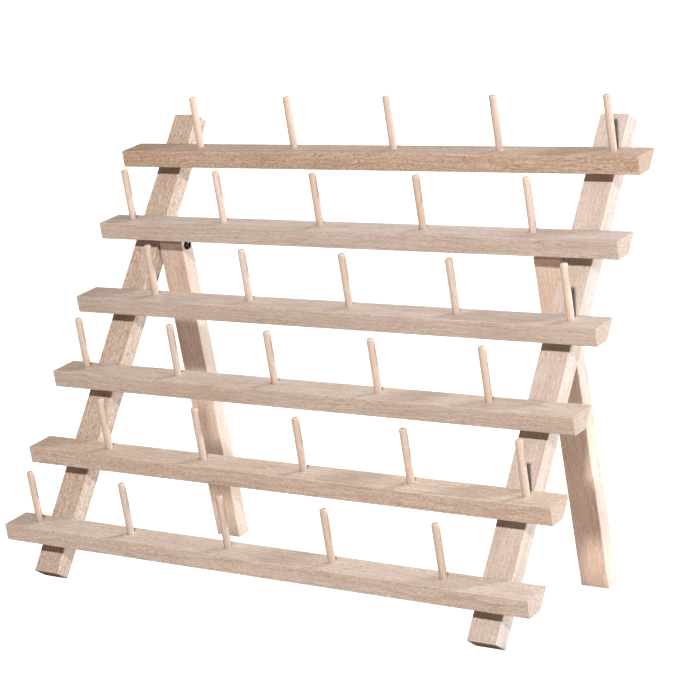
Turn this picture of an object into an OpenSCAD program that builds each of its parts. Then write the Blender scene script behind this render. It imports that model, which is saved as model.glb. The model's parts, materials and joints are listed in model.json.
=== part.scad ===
// Folding thread rack in beech: six sloping shelf rails with upright pegs, two front posts
// and two rear legs that swing on pivot screws and fold flat between the posts.
// X runs along the rails, +Y to the back, +Z up. The origin is on the floor, at the middle
// of the rack's outline seen from above.

/* [Rails] */
// Number of shelf rails
rail_count = 6; // [4:1:6]
// Length of each rail
rail_length = 400; // [380:1:460]
// Width of a rail's top face, from its front edge to the post
rail_width = 20.7; // [19:0.1:23]
// Thickness of a rail
rail_thickness = 11; // [10:0.5:12]
// Distance from one rail to the next, measured along the posts
rail_pitch = 53.4; // [50:0.1:60]
// Forward and downward slope of the rails' top faces
rail_slope = 12; // [8:0.5:14]

/* [Pegs] */
// Pegs on each rail
pegs_per_rail = 5; // [3:1:5]
// Peg diameter
peg_diameter = 4.7; // [4.2:0.1:5.5]
// Height of a peg above its rail
peg_height = 34; // [25:1:45]
// Diameter of the tenon at a peg's foot
tenon_diameter = 4; // [3.4:0.1:4]
// Depth of the blind hole that a tenon is glued into
peg_hole_depth = 5.5; // [4:0.5:6]
// Distance between neighbouring pegs on a rail
peg_pitch = 79.1; // [70:0.1:79.5]
// Distance from a rail's left end to its first peg, on the even rails
first_peg = 20.3; // [18:0.1:24]
// Shift to the right of the pegs on the odd rails
peg_stagger = 40.3; // [36:0.1:42]
// Distance from a rail's front edge to the line of pegs
peg_setback = 12.2; // [11.5:0.1:13]
// Bevel at a peg's tip
peg_bevel = 0.6; // [0.3:0.1:1]

/* [Posts] */
// Width of a post or leg, along the rails
stock_width = 20; // [18:0.5:24]
// Thickness of a post
stock_thickness = 11.2; // [11:0.1:13]
// Length of a post
post_length = 326.5; // [322:0.5:345]
// Backward lean of the posts when the rack stands
post_lean = 28.5; // [26:0.5:31]
// Distance from the rack's middle to the centre of each post
post_offset = 167.6; // [160:0.1:172]
// Distance along a post from its foot to the upper back edge of the top rail
top_rail_at = 304.5; // [303:0.5:308]

/* [Rear legs] */
// Thickness of a leg
leg_thickness = 10.6; // [10:0.1:10.8]
// Forward lean of a leg, foot behind, when the rack stands
leg_lean = 13.4; // [10:0.1:16]
// Distance along a post from its foot to the leg's pivot
pivot_at = 233; // [229:0.5:235]
// Length of a leg above its pivot
leg_head = 12; // [9:0.5:13]
// Space left between a leg's cut head and the rail that it stops against
stop_gap = 0.15; // [0.1:0.05:0.3]

/* [Edges] */
// Bevel along the long edges of the boards
edge_bevel = 0.4; // [0.2:0.1:0.6]

/* [Fasteners] */
// Shank diameter of a pivot screw
pivot_shank = 3.5; // [3:0.1:4]
// Head diameter of a pivot screw
pivot_head = 5.8; // [5.6:0.1:8]
// Head height of a pivot screw
pivot_head_height = 1.6; // [1.2:0.1:2.5]
// Depth of a pivot screw's thread in the post
pivot_grip = 12; // [8:0.5:14]
// Thickness of the washer between a post and its leg
washer_thickness = 0.6; // [0.5:0.1:1]
// Outer diameter of that washer
washer_diameter = 9; // [8:0.5:10]
// Shank diameter of a rail screw
rail_screw_shank = 3; // [2.5:0.1:3.2]
// Head diameter of a rail screw
rail_screw_head = 5.8; // [5.5:0.1:6.5]
// Depth of a rail screw in its rail
rail_screw_grip = 7.5; // [5:0.5:8]

/* [Hidden] */
$fn = 64;
wood = [0.86, 0.75, 0.64];
peg_wood = [0.9, 0.8, 0.69];
black = [0.09, 0.09, 0.1];
steel = [0.72, 0.72, 0.7];
slack = 0.1;          // added to the diameter of every hole that takes a peg or a screw
side_play = 0.05;     // left between a leg and its washer, and between it and its screw's head
mouth_depth = 0.5;    // depth of the bevel that eases the mouth of each peg hole
end_margin = 60;      // how far the tools that cut a leg's head reach past it
thread_step = 1.2;    // pitch of the screw threads
thread_height = 0.35; // height of a thread's ridges
slot_width = 0.9;     // width of the cross recess in a screw head
screw_below = 0.2;    // how far a rail screw's head sits below the post's back face
screw_at = 8.5;       // distance of a rail screw below the rail's upper back edge

bevel = post_lean + rail_slope;         // angle between a rail's top face and the post's normal
fold = post_lean + leg_lean;            // angle between an open leg and its post
pivot_depth = stock_thickness / 2;      // the pivot runs through the middle of the post
foot_rise = (stock_thickness - edge_bevel) * sin(post_lean);

// Heights and depths before the rack is centred on its outline
pivot_y = pivot_at * sin(post_lean) + pivot_depth * cos(post_lean);
pivot_z = pivot_at * cos(post_lean) - pivot_depth * sin(post_lean) + foot_rise;
leg_below = (pivot_z - (leg_thickness / 2 - edge_bevel) * sin(leg_lean)) / cos(leg_lean);
low_rail_at = top_rail_at - (rail_count - 1) * rail_pitch;
front_y = (low_rail_at - rail_width * sin(bevel)) * sin(post_lean)
    - rail_width * cos(bevel) * cos(post_lean) + edge_bevel * sin(rail_slope);
back_y = pivot_y + (leg_below - edge_bevel) * sin(leg_lean) + leg_thickness / 2 * cos(leg_lean);
centre_y = (front_y + back_y) / 2;

// Sideways places of the pieces on the left; the right side is a mirror image
post_inner = post_offset - stock_width / 2;
leg_outer = post_inner - washer_thickness - side_play;
leg_inner = leg_outer - stock_width;

// The rack's own frame: Z along the posts from their feet, Y = 0 at their front faces
module in_rack() {
    translate([0, -centre_y, foot_rise]) rotate([-post_lean, 0, 0]) children();
}

// A leg's own frame: the pivot at the origin and Z up along the leg
module in_leg() {
    translate([0, pivot_y - centre_y, pivot_z]) rotate([leg_lean, 0, 0]) children();
}

// A rail's own frame: X along the rail, Y back across its top face, Z square to that face,
// with the origin on its upper back edge
module in_rail(row) {
    in_rack() translate([0, 0, rail_height(row)]) rotate([bevel, 0, 0]) children();
}

module mirror_to(side) {
    if (side == "right") mirror([1, 0, 0]) children();
    else children();
}

function rail_height(row) = top_rail_at - (row - 1) * rail_pitch;

function peg_x(row, place) =
    -rail_length / 2 + first_peg + (row % 2 == 1 ? peg_stagger : 0) + (place - 1) * peg_pitch;

// Outline of a rail's end, with its back bevelled to lie flat on the posts
function rail_outline() = [
    [0, 0],
    [-rail_width * cos(bevel), -rail_width * sin(bevel)],
    [-rail_width * cos(bevel) + rail_thickness * sin(bevel),
     -rail_width * sin(bevel) - rail_thickness * cos(bevel)],
    [0, -rail_thickness / cos(bevel)]
];

// The same outline with a small bevel across each corner
function eased(points) = [
    for (k = [0 : len(points) - 1], step = [-1, 1])
        let (edge = points[(k + step + len(points)) % len(points)] - points[k])
        points[k] + edge_bevel * edge / norm(edge)
];

// A straight board from the origin along +Z, with bevelled edges
module board(thickness, length) {
    inset = edge_bevel;
    hull() {
        translate([inset, inset, 0])
            cube([stock_width - 2 * inset, thickness - 2 * inset, length]);
        translate([0, inset, inset])
            cube([stock_width, thickness - 2 * inset, length - 2 * inset]);
        translate([inset, 0, inset])
            cube([stock_width - 2 * inset, thickness, length - 2 * inset]);
    }
}

// Half section of a threaded shank along +Z, ridge after ridge from start to end
function thread_outline(radius, start, end) = let (turns = floor((end - start) / thread_step))
    concat(
        [[0, start], [radius - thread_height, start]],
        [for (turn = [0 : turns - 1]) each [
            [radius, start + (turn + 0.5) * thread_step],
            [radius - thread_height, start + (turn + 1) * thread_step]]],
        [[0, start + turns * thread_step + radius]]
    );

module cross_recess(diameter, depth) {
    for (turn = [0, 90])
        rotate([0, 0, turn]) translate([-diameter / 2, -slot_width / 2, -depth])
            cube([diameter, slot_width, 2 * depth]);
}

// A post standing on its square-cut foot, bored for the rail screws and the pivot screw
module post(side) {
    color(wood) mirror_to(side) in_rack() difference() {
        translate([-post_offset - stock_width / 2, 0, 0]) board(stock_thickness, post_length);
        for (row = [1 : rail_count])
            translate([-post_offset, 0, rail_height(row) - screw_at]) rail_screw_hole();
        translate([-post_inner - pivot_grip - 2, pivot_depth, pivot_at]) rotate([0, 90, 0])
            cylinder(d = pivot_shank + slack, h = pivot_grip + 3);
    }
}

// Clearance hole and countersink for a rail screw, from the post's back face to its front
module rail_screw_hole() {
    rotate([-90, 0, 0]) {
        translate([0, 0, -1]) cylinder(d = rail_screw_shank + slack, h = stock_thickness + 2);
        translate([0, 0, stock_thickness - screw_below - countersink()])
            cylinder(d1 = rail_screw_shank + slack, d2 = rail_screw_head + slack, h = countersink());
        translate([0, 0, stock_thickness - screw_below])
            cylinder(d = rail_screw_head + slack, h = 1);
    }
}

function countersink() = (rail_screw_head - rail_screw_shank) / 2;

// A rear leg. Its head is cut off along the plane of the rails' backs, where it comes to rest
module rear_leg(side) {
    color(wood) mirror_to(side) in_leg() difference() {
        translate([-leg_outer, -leg_thickness / 2, -leg_below])
            board(leg_thickness, leg_below + leg_head);
        translate([-leg_outer - 1, 0, 0]) rotate([0, 90, 0])
            cylinder(d = pivot_shank + slack, h = stock_width + 2);
        rotate([-fold, 0, 0])
            translate([-leg_outer - 1, stop_gap - pivot_depth - end_margin, -end_margin])
            cube([stock_width + 2, end_margin, 2 * end_margin]);
    }
}

// A shelf rail with a blind hole for each peg and two pilot holes for its screws
module rail(row) {
    color(wood) difference() {
        in_rack() translate([-rail_length / 2, 0, rail_height(row)]) rotate([90, 0, 90])
            linear_extrude(rail_length) polygon(eased(rail_outline()));
        for (place = [1 : pegs_per_rail])
            in_rail(row) translate([peg_x(row, place), peg_setback - rail_width, 0]) peg_hole();
        for (side = [-1, 1])
            in_rack() translate([side * post_offset, 1, rail_height(row) - screw_at])
                rotate([90, 0, 0]) cylinder(d = rail_screw_shank + slack, h = rail_screw_grip + 1.2);
    }
}

// Blind hole for a peg's tenon. Its eased mouth is a little wider than the peg
module peg_hole() {
    radius = (tenon_diameter + slack) / 2;
    mouth = peg_diameter / 2 + slack;
    rotate_extrude() polygon([
        [0, -peg_hole_depth], [radius, -peg_hole_depth], [radius, -mouth_depth],
        [mouth, 0], [mouth, 1], [0, 1]
    ]);
}

// A round peg with a bevelled tip, its shoulder level with the rail's top face
module peg(row, place) {
    radius = peg_diameter / 2;
    tenon = tenon_diameter / 2;
    color(peg_wood) in_rail(row)
        translate([peg_x(row, place), peg_setback - rail_width, 0])
        rotate_extrude() polygon([
            [0, slack - peg_hole_depth], [tenon, slack - peg_hole_depth], [tenon, 0], [radius, 0],
            [radius, peg_height - peg_bevel], [radius - peg_bevel, peg_height], [0, peg_height]
        ]);
}

// Pan-head screw that a leg turns on: plain through the leg and threaded in the post
module pivot_screw(side) {
    radius = pivot_shank / 2;
    grip_start = stock_width + washer_thickness + 2 * side_play;
    color(black) mirror_to(side) in_leg() translate([side_play - leg_inner, 0, 0]) rotate([0, -90, 0])
        difference() {
            union() {
                rotate_extrude() polygon([
                    [0, -pivot_head_height], [pivot_head * 0.25, -pivot_head_height],
                    [pivot_head * 0.42, -pivot_head_height * 0.8],
                    [pivot_head / 2, -pivot_head_height * 0.35], [pivot_head / 2, 0],
                    [radius, 0], [radius, grip_start], [0, grip_start]
                ]);
                rotate_extrude()
                    polygon(thread_outline(radius, grip_start, grip_start + pivot_grip - radius));
            }
            translate([0, 0, -pivot_head_height]) cross_recess(pivot_head * 0.55, 0.9);
        }
}

// Thin washer that keeps the leg off the post
module pivot_washer(side) {
    color(steel) mirror_to(side) in_leg() translate([-post_inner, 0, 0]) rotate([0, 90, 0])
        difference() {
            cylinder(d = washer_diameter, h = washer_thickness);
            translate([0, 0, -1]) cylinder(d = pivot_shank + slack, h = washer_thickness + 2);
        }
}

// One countersunk wood screw, head at the origin and thread along +Z
module rail_screw() {
    radius = rail_screw_shank / 2;
    plain = stock_thickness - screw_below;
    difference() {
        union() {
            rotate_extrude() polygon([
                [0, 0], [rail_screw_head / 2, 0], [radius, countersink()], [radius, plain], [0, plain]
            ]);
            rotate_extrude()
                polygon(thread_outline(radius, plain, plain + rail_screw_grip - radius));
        }
        cross_recess(rail_screw_head * 0.6, 1);
    }
}

// The screws that hold the rails to one post, driven in from its back face
module rail_screws(side) {
    color(steel) mirror_to(side) in_rack()
        for (row = [1 : rail_count])
            translate([-post_offset, stock_thickness - screw_below, rail_height(row) - screw_at])
                rotate([90, 0, 0]) rail_screw();
}

post("left");  // left_post
post("right");  // right_post
rear_leg("left");  // left_rear_leg
rear_leg("right");  // right_rear_leg
for (row = [1 : rail_count]) {
    rail(row);
    for (place = [1 : pegs_per_rail])
        peg(row, place);
}
pivot_screw("left");  // left_pivot_screw
pivot_screw("right");  // right_pivot_screw
pivot_washer("left");  // left_pivot_washer
pivot_washer("right");  // right_pivot_washer
rail_screws("left");  // left_rail_screws
rail_screws("right");  // right_rail_screws
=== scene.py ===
"""Looks of the folding thread rack: beech boards, dowel pegs, and coated steel screws and washers.

Every shape comes from the CAD frame. This script gives each piece its material, then adds the
floor, the lamps and the camera.
"""
import json
import math
import random

import bpy
from mathutils import Matrix, Vector


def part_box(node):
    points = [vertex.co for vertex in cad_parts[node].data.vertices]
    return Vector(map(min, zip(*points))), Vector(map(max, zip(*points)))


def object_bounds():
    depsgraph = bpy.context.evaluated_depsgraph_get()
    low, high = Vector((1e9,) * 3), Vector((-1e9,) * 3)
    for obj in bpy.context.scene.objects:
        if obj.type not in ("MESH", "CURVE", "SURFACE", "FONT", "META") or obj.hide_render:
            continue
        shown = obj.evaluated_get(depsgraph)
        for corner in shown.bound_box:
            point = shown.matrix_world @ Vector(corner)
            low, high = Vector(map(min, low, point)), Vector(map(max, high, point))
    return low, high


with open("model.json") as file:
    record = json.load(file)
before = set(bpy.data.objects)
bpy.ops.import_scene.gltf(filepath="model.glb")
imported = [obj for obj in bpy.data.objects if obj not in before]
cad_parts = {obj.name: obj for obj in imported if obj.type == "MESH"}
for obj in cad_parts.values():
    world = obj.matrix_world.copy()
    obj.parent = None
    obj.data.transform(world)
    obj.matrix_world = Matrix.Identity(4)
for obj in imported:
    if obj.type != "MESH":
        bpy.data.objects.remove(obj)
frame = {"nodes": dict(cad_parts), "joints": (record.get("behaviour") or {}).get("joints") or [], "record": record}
cad_low, cad_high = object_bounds()
nodes = frame["nodes"]

MM = 0.001
ROWS = range(1, 7)
PLACES = range(1, 6)
SIDES = ("left", "right")


# ---- Lean of each kind of piece, read from the frame -----------------------------------

def mount_axis(name):
    """The axis of one of the mounts in the record."""
    for mount in frame["record"]["mounts"]:
        if mount["name"] == name:
            return Vector(mount["axis"])
    raise KeyError(name)


def lean_of(axis):
    """Angle of an upright axis from the vertical, positive when its top leans back."""
    return math.atan2(axis.y, axis.z)


fold_joint = next(joint for joint in frame["joints"] if joint["name"] == "left_leg_fold")
post_back = mount_axis("left_post_back")
post_lean = lean_of(Vector((0, -post_back.z, post_back.y)))
peg_lean = lean_of(mount_axis("peg_1_1"))
leg_lean = post_lean - math.radians(fold_joint["range_deg"][1])

# Rotation that brings a piece's grain onto X. A rail's grain lies there already
RAIL_GRAIN = (0.0, 0.0, 0.0)


def upright_grain(lean):
    """The same rotation for a piece whose grain runs up it."""
    return (lean, math.pi / 2, 0.0)


# ---- Patterns and node helpers ---------------------------------------------------------

PATTERNS = {
    # name: cycles along and across the grain, detail, roughness, and a shift that keeps the
    # patterns apart. The cycles are counted in a millimetre, or in a metre on the floor
    "drift": (0.007, 0.04, 2.0, 0.5, 0.0),      # slow bends in the growth rings
    "wobble": (0.03, 0.15, 2.0, 0.5, 3.0),      # uneven gaps between the rings
    "sway": (0.035, 0.07, 2.0, 0.5, 40.0),      # the fibres' swing from side to side
    "fibre": (0.04, 1.0, 3.0, 0.6, 0.0),        # long streaks
    "streak": (0.10, 1.7, 2.0, 0.5, 5.0),       # shorter and thinner streaks
    "fine": (0.85, 2.3, 2.0, 0.5, 8.0),         # a fine broken grain
    "cloud": (0.015, 0.09, 2.0, 0.5, 21.0),     # broad changes of tone
    "fleck": (0.40, 2.4, 1.0, 0.5, 9.0),        # short dark dashes
    "pore": (0.16, 4.2, 0.0, 0.5, 14.0),        # thin dark lines
    "ray": (0.45, 2.2, 1.0, 0.5, 17.0),         # short pale dashes
    "fuzz": (2.2, 2.2, 3.0, 0.7, 31.0),         # the roughness of cut fibres
    "mottle": (1.4, 1.4, 3.0, 0.6, 0.0),        # uneven plating on the metal
    "scuff": (0.9, 5.0, 3.0, 0.7, 7.0),         # scratches in the plating
    "floor": (1.5, 1.5, 2.0, 0.5, 0.0),         # faint clouds on the floor
}
SHIFT_PARTS = (1.0, 1.7, 2.3)       # share of a pattern's shift on each axis


class Graph:
    """A material's node tree, built by calls that take sockets or plain values."""

    def __init__(self, name):
        self.material = bpy.data.materials.new(name)
        self.material.use_nodes = True
        self.tree = self.material.node_tree
        self.tree.nodes.clear()

    def add(self, kind, inputs=None, **settings):
        made = self.tree.nodes.new("ShaderNode" + kind)
        for key, value in settings.items():
            setattr(made, key, value)
        for key, value in (inputs or {}).items():
            if isinstance(value, bpy.types.NodeSocket):
                self.tree.links.new(value, made.inputs[key])
            else:
                made.inputs[key].default_value = value
        return made

    def math(self, operation, a, b=0.0, clamp=False):
        return self.add("Math", {0: a, 1: b}, operation=operation, use_clamp=clamp).outputs[0]

    def total(self, *parts):
        """The sum of some values, each given with its weight."""
        whole = 0.0
        for value, weight in parts:
            whole = self.math("ADD", whole, self.math("MULTIPLY", value, weight))
        return whole

    def vector(self, operation, a, b=(0, 0, 0)):
        made = self.add("VectorMath", {0: a, 1: b}, operation=operation)
        return made.outputs["Value" if operation == "LENGTH" else "Vector"]

    def pattern(self, name, place, output="Fac"):
        """One of the patterns, with its grain along X."""
        along, across, detail, roughness, shift = PATTERNS[name]
        placed = self.vector("MULTIPLY", place, (along, across, across))
        placed = self.vector("ADD", placed, tuple(shift * part for part in SHIFT_PARTS))
        made = self.add("TexNoise", {"Vector": placed, "Scale": 1.0, "Detail": detail,
                                     "Roughness": roughness})
        return made.outputs[output]

    def remap(self, value, span, result=(0.0, 1.0)):
        """A smooth step from one result to the other as the value crosses the span."""
        made = self.add("MapRange", {"Value": value, "From Min": span[0], "From Max": span[1],
                                     "To Min": result[0], "To Max": result[1]},
                        interpolation_type="SMOOTHSTEP")
        return made.outputs["Result"]

    def mix(self, share, first, second):
        """A colour that goes from the first to the second as the share goes from 0 to 1."""
        return self.add("Mix", {0: share, 6: first, 7: second}, data_type="RGBA").outputs[2]

    def ramp(self, value, stops):
        """A grey level for each value, between stops given as (value, level)."""
        made = self.add("ValToRGB", {"Fac": value})
        bar = made.color_ramp
        while len(bar.elements) < len(stops):
            bar.elements.new(0.5)
        for element, (place, level) in zip(bar.elements, stops):
            element.position = place
            element.color = (level, level, level, 1)
        return made.outputs["Color"]

    def finish(self, **inputs):
        """The finished material. Each input is a Principled BSDF socket, with _ for a space."""
        shader = self.add("BsdfPrincipled", {key.replace("_", " "): value
                                             for key, value in inputs.items()})
        self.add("OutputMaterial", {"Surface": shader.outputs[0]})
        return self.material


def colour(red, green, blue):
    return (red, green, blue, 1.0)


def toned(base, tone):
    """A colour whose red, green and blue are each multiplied by the tone's."""
    return tuple(level * part for level, part in zip(base, tone))


# ---- Wood ------------------------------------------------------------------------------

# These patterns follow the swaying fibres, and the others run straight through the board
WITH_FIBRES = ("fibre", "streak", "fine", "fleck", "pore", "ray")
WITH_BOARD = ("cloud", "fuzz")

# What deepens the wood's tone: the span of each pattern that counts, its share of the depth, and
# whether that share grows with the board's figure
DEPTHS = {
    "fibre": ((0.36, 0.64), 0.22, True),
    "streak": ((0.36, 0.64), 0.20, False),
    "fine": ((0.34, 0.66), 0.30, True),
    "cloud": ((0.30, 0.70), 0.24, False),
}
RING_DEPTH = 0.26
END_DEPTH = 0.28
CLEAR_DEPTH = 0.12              # the wood keeps its pale tone up to this depth

# Dark flecks and pores, and pale rays: how strong they are, and the span where they show
FLECK_SHARE, FLECK_START, FLECK_RISE = 0.42, 0.6, 0.14
FLECK_SPREAD = 0.07             # how much sooner flecks start as the figure grows by 1
PORE_SHARE, PORE_SPAN = 0.24, (0.63, 0.76)
RAY_SHARE, RAY_SPAN = 0.45, (0.6, 0.72)
FLECK_BROWN = (0.6, 0.56, 0.5)  # share of the deep tone in flecks and pores
CREAM = (1.16, 1.16, 1.16)      # share of the pale tone in rays and on worn edges

# Growth rings: how far they bend (mm), how uneven they are (rings), and the tone across one ring,
# as places from 0 to 1 with the tone at each
RING_BEND = 14
RING_WOBBLE = 2.0
RING_TONES = ((0.0, 0.15), (0.15, 0.0), (0.55, 0.25), (0.88, 1.0), (1.0, 0.15))
FIBRE_SWAY = 9                  # how far the fibres swing across the board (mm)
LOG_REACH = 900                 # how far a board's patterns are shifted, so that none repeats (mm)
PITH_REACH = (35, 90)           # how far the rings' middle lies from the frame's origin (mm)

# End grain: the span of how far a face looks along the grain
END_SPAN = (0.6, 0.85)
# Worn edges: their radius, the span of how far the surface turns there, and the span of the
# streaks that vary the wear, with the least and the most of it
EDGE_RADIUS, EDGE_SAMPLES = 0.7 * MM, 4
EDGE_SPAN = (0.01, 0.2)
WEAR_SPAN, WEAR = (0.3, 0.6), (0.1, 0.5)

# Relief: the weight of each part in the surface's height, and the strength and size of the bump
FIBRE_HEIGHT, MARK_HEIGHT, FINE_HEIGHT, FUZZ_HEIGHT = 0.8, -0.8, 0.3, 1.2
FACE_FUZZ = 0.12                # fuzz on a planed face. A cut end has 1 more
WOOD_BUMP, WOOD_RELIEF = 0.6, 0.18 * MM
# Roughness: the span of the fibres that counts, its two ends, and what cut ends and edges add
ROUGH_SPAN, WOOD_ROUGHNESS = (0.2, 0.8), (0.54, 0.7)
END_ROUGHER, EDGE_ROUGHER = 0.14, -0.08
WOOD_SPECULAR = 0.25


def grain_space(graph, grain, shift):
    """Object space in millimetres with X along the grain, and how far a face looks along it."""
    place = graph.add("TexCoord")
    point = graph.add("Mapping", {"Vector": place.outputs["Object"], "Location": shift,
                                  "Rotation": grain, "Scale": (1 / MM,) * 3}).outputs[0]
    facing = graph.add("Mapping", {"Vector": place.outputs["Normal"], "Rotation": grain},
                       vector_type="NORMAL").outputs[0]
    along = graph.add("SeparateXYZ", {0: facing}).outputs[0]
    return point, graph.remap(graph.math("ABSOLUTE", along), END_SPAN)


def pushed(graph, name, place, reach):
    """A place that a pattern has moved across the grain, by half of the reach at most."""
    push = graph.vector("SUBTRACT", graph.pattern(name, place, "Color"), (0.5, 0.5, 0.5))
    return graph.vector("ADD", place, graph.vector("MULTIPLY", push, (0, reach, reach)))


def growth_rings(graph, point, pith, gap):
    """Rings round a pith that lies well outside the board: 0 in early wood, 1 in late wood."""
    bent = pushed(graph, "drift", point, RING_BEND)
    across = graph.vector("MULTIPLY", graph.vector("SUBTRACT", bent, pith), (0, 1, 1))
    rings = graph.math("DIVIDE", graph.vector("LENGTH", across), gap)
    rings = graph.total((rings, 1.0), (graph.pattern("wobble", point), RING_WOBBLE))
    return graph.ramp(graph.math("FRACT", rings), RING_TONES)


def near_edge(graph):
    """1 on the board's worn edges and 0 on its flat faces."""
    rounded = graph.add("Bevel", {"Radius": EDGE_RADIUS}, samples=EDGE_SAMPLES).outputs[0]
    flat = graph.add("NewGeometry").outputs["Normal"]
    alike = graph.add("VectorMath", {0: rounded, 1: flat}, operation="DOT_PRODUCT")
    return graph.remap(graph.math("SUBTRACT", 1.0, alike.outputs["Value"]), EDGE_SPAN)


def wood_depth(graph, seen, late, end, figure):
    """How deep the wood's tone is: most in late wood, in streaks and on cut ends."""
    parts = [(end, END_DEPTH), (late, RING_DEPTH * figure)]
    for name, (span, share, figured) in DEPTHS.items():
        parts.append((graph.remap(seen[name], span), share * figure if figured else share))
    return graph.math("SUBTRACT", graph.total(*parts), CLEAR_DEPTH, clamp=True)


def wood_marks(graph, seen, figure):
    """Where the wood has dark flecks and pores. A figured board has more of them."""
    start = FLECK_START - FLECK_SPREAD * (figure - 1)
    return graph.total(
        (graph.remap(seen["fleck"], (start, start + FLECK_RISE)), FLECK_SHARE * figure),
        (graph.remap(seen["pore"], PORE_SPAN), PORE_SHARE * figure))


def wood_bump(graph, seen, marks, end):
    """Fibres stand a little proud, pores and flecks sink, and cut ends are rough."""
    fuzz = graph.math("MULTIPLY", seen["fuzz"], graph.math("ADD", end, FACE_FUZZ))
    height = graph.total((seen["fibre"], FIBRE_HEIGHT), (marks, MARK_HEIGHT),
                         (seen["fine"], FINE_HEIGHT), (fuzz, FUZZ_HEIGHT))
    return graph.add("Bump", {"Height": height, "Strength": WOOD_BUMP,
                              "Distance": WOOD_RELIEF}).outputs[0]


def place_in_log(seed):
    """A board's own shift in the patterns, and the middle of its growth rings."""
    chance = random.Random(seed)
    shift = tuple(chance.uniform(-LOG_REACH, LOG_REACH) for _ in range(3))
    angle = chance.uniform(0, 2 * math.pi)
    reach = chance.uniform(*PITH_REACH)
    pith = (0, shift[1] + reach * math.cos(angle), shift[2] + reach * math.sin(angle))
    return shift, pith


def wood(name, grain, seed, pale, deep, ring_gap=3.0, figure=1.0):
    """Solid wood cut from a log: rings, fibres and flecks run through it, along the grain."""
    graph = Graph(name)
    shift, pith = place_in_log(seed)
    point, end = grain_space(graph, grain, shift)
    fibres = pushed(graph, "sway", point, FIBRE_SWAY)
    seen = {key: graph.pattern(key, fibres) for key in WITH_FIBRES}
    seen.update({key: graph.pattern(key, point) for key in WITH_BOARD})
    late = growth_rings(graph, point, pith, ring_gap)
    depth = wood_depth(graph, seen, late, end, figure)
    marks = wood_marks(graph, seen, figure)
    rays = graph.math("MULTIPLY", graph.remap(seen["ray"], RAY_SPAN), RAY_SHARE)
    edge = near_edge(graph)
    wear = graph.math("MULTIPLY", edge, graph.remap(seen["streak"], WEAR_SPAN, WEAR))

    tint = graph.mix(depth, colour(*pale), colour(*deep))
    tint = graph.mix(marks, tint, colour(*toned(deep, FLECK_BROWN)))
    for share in (rays, wear):
        tint = graph.mix(share, tint, colour(*toned(pale, CREAM)))
    rough = graph.remap(seen["fibre"], ROUGH_SPAN, WOOD_ROUGHNESS)
    rough = graph.total((rough, 1.0), (end, END_ROUGHER), (edge, EDGE_ROUGHER))
    return graph.finish(Base_Color=tint, Roughness=rough, Specular_IOR_Level=WOOD_SPECULAR,
                        Normal=wood_bump(graph, seen, marks, end))


# Pale and deep tone of the beech, and each board's own shade of it: they are from many planks. The rear legs'
# shade also holds painted light
BEECH_PALE = (0.57, 0.503, 0.465)
BEECH_DEEP = (0.42, 0.335, 0.275)
BOARDS = {
    # name: red, green and blue share of the base tones, and strength of the figure
    "rail_1": ((0.99, 0.94, 0.89), 1.8),
    "rail_2": ((0.99, 1.00, 1.02), 1.2),
    "rail_3": ((0.96, 0.96, 0.965), 1.1),
    "rail_4": ((0.98, 0.98, 0.97), 1.2),
    "rail_5": ((1.07, 1.06, 1.04), 1.5),
    "rail_6": ((1.07, 1.08, 1.09), 1.4),
    "left_post": ((1.13, 1.13, 1.13), 2.0),
    "right_post": ((1.01, 1.02, 1.03), 1.1),
    # The rear legs are lighter than their own wood: painted light that lifts fronts and sides the lamps leave in
    # shade
    "left_rear_leg": ((1.20, 1.18, 1.17), 1.2),
    "right_rear_leg": ((1.31, 1.27, 1.24), 1.1),
}
BOARD_SEED = 100

# The pegs' pale and deep tone, the spread of light and warm pegs, and their rings and figure
PEG_PALE = (0.58, 0.50, 0.445)
PEG_DEEP = (0.47, 0.37, 0.30)
PEG_LEVEL = (0.93, 1.06)
PEG_WARMTH = (0.97, 1.02)
PEG_RING_GAP = 2.0
PEG_FIGURE = 0.8


def dress(name, material):
    for slot in nodes[name].material_slots:
        slot.material = material


def grain_of(name):
    if name.startswith("rail"):
        return RAIL_GRAIN
    return upright_grain(leg_lean if name.endswith("leg") else post_lean)


def dress_boards():
    for number, (name, (tone, figure)) in enumerate(BOARDS.items()):
        dress(name, wood("beech_" + name, grain_of(name), BOARD_SEED + number,
                         toned(BEECH_PALE, tone), toned(BEECH_DEEP, tone), figure=figure))


def dress_pegs():
    for row in ROWS:
        for place in PLACES:
            name = f"peg_{row}_{place}"
            chance = random.Random(name)
            level = chance.uniform(*PEG_LEVEL)
            warmth = chance.uniform(*PEG_WARMTH)
            tone = (level, level * warmth, level * warmth * warmth)
            dress(name, wood("dowel_" + name, upright_grain(peg_lean), 10 * row + place,
                             toned(PEG_PALE, tone), toned(PEG_DEEP, tone),
                             ring_gap=PEG_RING_GAP, figure=PEG_FIGURE))


# ---- Metal -----------------------------------------------------------------------------

# The span of each pattern that shows, the tone of the mottle, and how much metal a scuff bares
MOTTLE_SPAN, MOTTLE_TONE = (0.3, 0.7), (0.7, 0.7, 0.7)
SCUFF_SPAN, SCUFF_SHARE = (0.6, 0.72), 0.5
# Roughness: the span of the mottle that counts, and what its two ends and the scuffs add
SHINE_SPAN, SHINE_ADDED = (0.25, 0.75), (-0.08, 0.1)
SCUFF_ROUGHER = -0.08
METAL_BUMP, METAL_RELIEF = 0.3, 0.03 * MM


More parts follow.
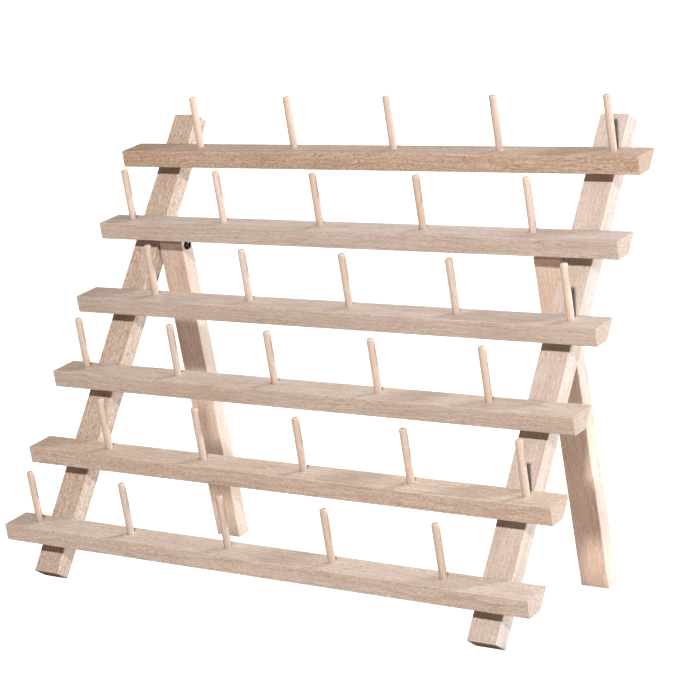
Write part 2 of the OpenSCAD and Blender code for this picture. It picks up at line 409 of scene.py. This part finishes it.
def metal(name, coat, bare, roughness):
    """Coated steel: a mottled coat with bare metal showing through in fine scuffs."""
    graph = Graph(name)
    point = graph.add("Mapping", {"Vector": graph.add("TexCoord").outputs["Object"],
                                  "Scale": (1 / MM,) * 3}).outputs[0]
    mottle = graph.pattern("mottle", point)
    scuff = graph.remap(graph.pattern("scuff", point), SCUFF_SPAN)
    dark = toned(coat, MOTTLE_TONE)
    tint = graph.mix(graph.remap(mottle, MOTTLE_SPAN), colour(*coat), colour(*dark))
    tint = graph.mix(graph.math("MULTIPLY", scuff, SCUFF_SHARE), tint, colour(*bare))
    rough = graph.remap(mottle, SHINE_SPAN, tuple(roughness + more for more in SHINE_ADDED))
    rough = graph.total((rough, 1.0), (scuff, SCUFF_ROUGHER))
    bump = graph.add("Bump", {"Height": graph.math("SUBTRACT", mottle, scuff),
                              "Strength": METAL_BUMP, "Distance": METAL_RELIEF})
    return graph.finish(Base_Color=tint, Roughness=rough, Normal=bump.outputs[0], Metallic=1.0)


def dress_fasteners():
    black = metal("black_oxide", (0.06, 0.058, 0.062), (0.55, 0.54, 0.52), roughness=0.24)
    zinc = metal("zinc_plate", (0.60, 0.60, 0.58), (0.75, 0.74, 0.70), roughness=0.32)
    for side in SIDES:
        dress(f"{side}_pivot_screw", black)
        dress(f"{side}_pivot_washer", zinc)
        dress(f"{side}_rail_screws", zinc)


# ---- Floor, light and camera -----------------------------------------------------------

FLOOR_RADIUS, FLOOR_SIDES = 150, 96
FLOOR_TONES = (0.028, 0.032)
FLOOR_ROUGHNESS = 0.9
# The light that the floor gives the wood: how strong it is, and its tint
FLOOR_GLOW = 0.73
FLOOR_TINT = (1.0, 0.89, 0.81)
# Each foot dims that light near it: the span of distance, and the share of light across it
FOOT_SPAN = (6.4 * MM, 32 * MM)
FOOT_LIGHT = (0.3, 1.0)


def feet():
    """Where each post and rear leg stands on the floor."""
    for side in SIDES:
        for name, outer in ((f"{side}_post", 0), (f"{side}_rear_leg", 1)):
            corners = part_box(name)
            yield (corners[0][0] + corners[1][0]) / 2, corners[outer][1], 0.0


def make_floor():
    """A pale sheet that glows. The glow that falls on the wood is warm, and dim by the feet."""
    graph = Graph("pale_floor")
    point = graph.add("TexCoord").outputs["Object"]
    tint = graph.mix(graph.pattern("floor", point),
                     *(colour(tone, tone, tone) for tone in FLOOR_TONES))
    open_share = 1.0
    for foot in feet():
        gap = graph.vector("LENGTH", graph.vector("SUBTRACT", point, foot))
        open_share = graph.math("MULTIPLY", open_share, graph.remap(gap, FOOT_SPAN, FOOT_LIGHT))
    warm = colour(*(FLOOR_GLOW * level for level in FLOOR_TINT))
    on_wood = graph.mix(open_share, colour(0, 0, 0), warm)
    seen = graph.add("LightPath").outputs["Is Camera Ray"]
    glow = graph.mix(seen, on_wood, colour(1, 1, 1))
    material = graph.finish(Base_Color=tint, Roughness=FLOOR_ROUGHNESS, Specular_IOR_Level=0.0,
                            Emission_Color=glow, Emission_Strength=1.0)
    bpy.ops.mesh.primitive_circle_add(vertices=FLOOR_SIDES, radius=FLOOR_RADIUS, fill_type="NGON")
    floor = bpy.context.object
    floor.name = "floor"
    floor.data.materials.append(material)


LAMPS = {
    # name: azimuth and elevation in degrees, distance and size in metres, power in watts, tint.
    # Azimuth 0 is in front of the rack and 90 is on its right
    "key": (26.5, 36, 2.2, 0.15, 38.5, (1, 0.96, 0.94)),
    "top": (30, 72, 2.0, 1.4, 5.8, (1, 0.96, 0.94)),
    "rim": (135, 26, 3.0, 0.3, 58, (0.86, 0.94, 1)),
    "side": (92, 10, 1.5, 0.8, 9, (0.88, 0.95, 1)),
    "back": (200, 30, 3.0, 2.5, 17, (1, 0.98, 0.95)),
}


def area_light(name, azimuth, elevation, distance, size, power, tint):
    """A square lamp that faces the rack's middle."""
    lamp = bpy.data.lights.new(name, "AREA")
    lamp.size = size
    lamp.energy = power
    lamp.color = tint
    item = bpy.data.objects.new(name, lamp)
    turn, rise = math.radians(azimuth), math.radians(elevation)
    out = Vector((math.sin(turn) * math.cos(rise), -math.cos(turn) * math.cos(rise),
                  math.sin(rise)))
    item.location = (cad_low + cad_high) / 2 + out * distance
    item.rotation_mode = "QUATERNION"
    item.rotation_quaternion = out.to_track_quat("Z", "Y")
    item.visible_camera = False
    bpy.context.scene.collection.objects.link(item)


def light_scene():
    """Lamps, and a white backdrop that only the camera sees."""
    for name, setting in LAMPS.items():
        area_light(name, *setting)
    world = bpy.data.worlds.new("studio")
    world.use_nodes = True
    shade = world.node_tree.nodes["Background"]
    shade.inputs["Color"].default_value = colour(1, 1, 1)
    shade.inputs["Strength"].default_value = 1.0
    world.cycles_visibility.diffuse = False
    world.cycles_visibility.glossy = False
    bpy.context.scene.world = world
    bpy.context.scene.view_settings.view_transform = "Standard"
    bpy.context.scene.view_settings.look = "High Contrast"


# The photo's camera, as fitted to the rack: place in metres, angles in degrees, lens in mm
CAMERA_PLACE = (0.8464, -1.1075, 0.3433)
CAMERA_YAW, CAMERA_PITCH, CAMERA_ROLL = 36.74, 7.95, -1.63
CAMERA_LENS, CAMERA_SENSOR = 116.45, 36
CAMERA_NEAR, CAMERA_FAR = 0.05, 100


def make_camera():
    camera = bpy.data.cameras.new("camera")
    camera.sensor_width = CAMERA_SENSOR
    camera.lens = CAMERA_LENS
    camera.clip_start, camera.clip_end = CAMERA_NEAR, CAMERA_FAR
    item = bpy.data.objects.new("camera", camera)
    yaw, pitch, roll = map(math.radians, (CAMERA_YAW, CAMERA_PITCH, CAMERA_ROLL))
    turn = (Matrix.Rotation(yaw, 4, "Z") @ Matrix.Rotation(math.pi / 2 - pitch, 4, "X")
            @ Matrix.Rotation(roll, 4, "Z"))
    item.matrix_world = Matrix.Translation(CAMERA_PLACE) @ turn
    bpy.context.scene.collection.objects.link(item)
    bpy.context.scene.camera = item


dress_boards()
dress_pegs()
dress_fasteners()
make_floor()
light_scene()
make_camera()
